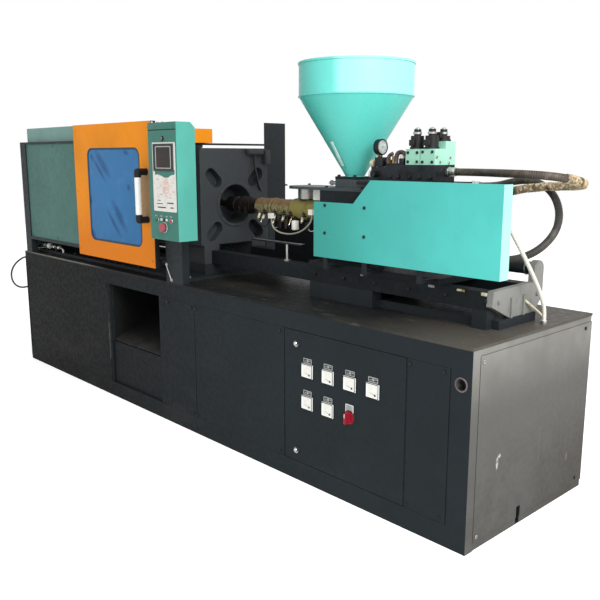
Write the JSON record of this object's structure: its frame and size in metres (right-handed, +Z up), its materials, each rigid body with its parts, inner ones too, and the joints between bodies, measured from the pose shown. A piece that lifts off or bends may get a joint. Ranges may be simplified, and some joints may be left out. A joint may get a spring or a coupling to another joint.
{
  "type": "injection moulding machine",
  "caption": "Horizontal injection moulding machine with a sliding operator door, control box, clamp, hopper and screw barrel on a long box base.",
  "frame": {"origin": "middle of the base's footprint, on the floor", "axes": "+X along the machine towards the injection end, -Y towards the operator, +Z up"},
  "size_m": [4.5394, 1.167, 2.082],
  "materials": {
    "frame_paint": "matt charcoal paint, worn at the edges",
    "panel_paint": "matt charcoal paint with scuffs",
    "deck_paint": "charcoal paint under oil and dirt",
    "tray_paint": "scratched grey paint",
    "door_paint": "matt charcoal paint",
    "meter_plastic": "white plastic",
    "switch_red": "red plastic",
    "bright_steel": "machined steel",
    "lock_chrome": "chrome plate",
    "tank_paint": "grey paint",
    "motor_paint": "blue grey paint",
    "pump_iron": "cast iron",
    "contactor_plastic": "dark plastic",
    "platen_iron": "painted casting",
    "bar_chrome": "hard chrome",
    "guard_paint": "green paint",
    "cover_paint": "turquoise paint",
    "orange_paint": "orange paint",
    "window_glass": "blue tinted pane",
    "grip_plastic": "white grip, black elbows",
    "box_paint": "turquoise green paint",
    "screen_glass": "dark display",
    "button_red": "red plastic",
    "button_green": "green plastic",
    "beam_paint": "dark oily paint",
    "bracket_grey": "grey painted casting",
    "barrel_steel": "heat stained steel",
    "band_copper": "heat tinted sheet",
    "hopper_paint": "light turquoise paint",
    "manifold_steel": "blackened steel",
    "valve_paint": "pale green paint",
    "solenoid_plastic": "black plastic",
    "gauge_steel": "steel gauge case",
    "hose_rubber": "black rubber",
    "conduit_plastic": "dirty white plastic",
    "cable_rubber": "black cable",
    "lead_braid": "glass braid"
  },
  "bodies": {
    "machine": {"base_frame": "frame_paint", "base_deck": "deck_paint", "chute_tray": "tray_paint", "body_panels": "panel_paint", "oil_tank": "tank_paint", "pump_motor": "motor_paint", "hydraulic_pump": "pump_iron", "contactor_plate": "contactor_plastic", "clamp_bed": "frame_paint", "fixed_platen": "platen_iron", "rear_platen": "platen_iron", "clamp_cylinder": "platen_iron", "tie_bars": "bar_chrome", "guard_frame": "frame_paint", "guard_panels": "guard_paint", "top_cover": "guard_paint", "top_guard": "orange_paint", "control_box": "box_paint", "control_screen": "screen_glass", "injection_bed": "frame_paint", "injection_beams": "beam_paint", "switch_rail": "bright_steel", "rear_bracket": "bracket_grey", "carriage_cylinder": "frame_paint", "power_conduit": "conduit_plastic", "end_cable": "cable_rubber", "cable_glands": "bright_steel"},
    "cabinet_door": {"electrical_door": "door_paint", "panel_meters": "meter_plastic"},
    "main_switch": {"main_switch": "switch_red"},
    "upper_lock": {"upper_lock": "lock_chrome"},
    "lower_lock": {"lower_lock": "lock_chrome"},
    "moving_platen": {"moving_platen": "platen_iron", "clamp_ram": "bar_chrome"},
    "ejector": {"ejector_rod": "bright_steel"},
    "operator_door": {"operator_door": "orange_paint", "door_window": "window_glass", "door_handle": "grip_plastic"},
    "emergency_button": {"emergency_button": "button_red"},
    "start_button": {"start_button": "button_green"},
    "stop_button": {"stop_button": "button_red"},
    "carriage": {"carriage": "beam_paint", "feed_block": "beam_paint", "barrel": "barrel_steel", "heater_bands": "band_copper", "injection_cylinders": "beam_paint", "hopper_plate": "beam_paint", "hopper": "hopper_paint", "manifold": "manifold_steel", "valve_bodies": "valve_paint", "solenoids": "solenoid_plastic", "pressure_gauge": "gauge_steel", "cover_front": "cover_paint", "hose_fittings": "bright_steel", "hose_upper": "hose_rubber", "hose_loop": "hose_rubber", "heater_lead": "lead_braid"},
    "drive_plate": {"drive_plate": "beam_paint"},
    "screw": {"screw": "bright_steel"},
    "slide_gate": {"slide_gate": "bright_steel"}
  },
  "joints": [
    {"name": "cabinet_door_hinge", "type": "hinge", "parent": "machine", "child": "cabinet_door", "pos_m": [1.7695, -0.4952, 0], "axis": [0, 0, 1], "range_deg": [0, 110]},
    {"name": "main_switch_turn", "type": "hinge", "parent": "cabinet_door", "child": "main_switch", "pos_m": [1.446, -0.495, 0.427], "axis": [0, 1, 0], "range_deg": [0, 90]},
    {"name": "upper_lock_turn", "type": "hinge", "parent": "cabinet_door", "child": "upper_lock", "pos_m": [1.085, -0.495, 0.712], "axis": [0, 1, 0], "range_deg": [0, 90]},
    {"name": "lower_lock_turn", "type": "hinge", "parent": "cabinet_door", "child": "lower_lock", "pos_m": [1.085, -0.495, 0.159], "axis": [0, 1, 0], "range_deg": [0, 90]},
    {"name": "clamp_stroke", "type": "slide", "parent": "machine", "child": "moving_platen", "axis": [1, 0, 0], "range_m": [0, 0.35]},
    {"name": "ejector_stroke", "type": "slide", "parent": "moving_platen", "child": "ejector", "axis": [1, 0, 0], "range_m": [0, 0.08]},
    {"name": "operator_door_slide", "type": "slide", "parent": "machine", "child": "operator_door", "axis": [-1, 0, 0], "range_m": [0, 0.9]},
    {"name": "emergency_button_press", "type": "slide", "parent": "machine", "child": "emergency_button", "axis": [0, 1, 0], "range_m": [0, 0.004], "stiffness_N_per_m": 2500},
    {"name": "start_button_press", "type": "slide", "parent": "machine", "child": "start_button", "axis": [0, 1, 0], "range_m": [0, 0.004], "stiffness_N_per_m": 1000},
    {"name": "stop_button_press", "type": "slide", "parent": "machine", "child": "stop_button", "axis": [0, 1, 0], "range_m": [0, 0.004], "stiffness_N_per_m": 1000},
    {"name": "carriage_stroke", "type": "slide", "parent": "machine", "child": "carriage", "axis": [1, 0, 0], "range_m": [0, 0.2]},
    {"name": "injection_stroke", "type": "slide", "parent": "carriage", "child": "drive_plate", "axis": [1, 0, 0], "range_m": [0, 0.12]},
    {"name": "screw_turn", "type": "hinge", "parent": "drive_plate", "child": "screw", "pos_m": [1.2, 0, 1.322], "axis": [1, 0, 0], "continuous": true},
    {"name": "gate_slide", "type": "slide", "parent": "carriage", "child": "slide_gate", "axis": [-1, 0, 0], "range_m": [0, 0.11]}
  ]
}
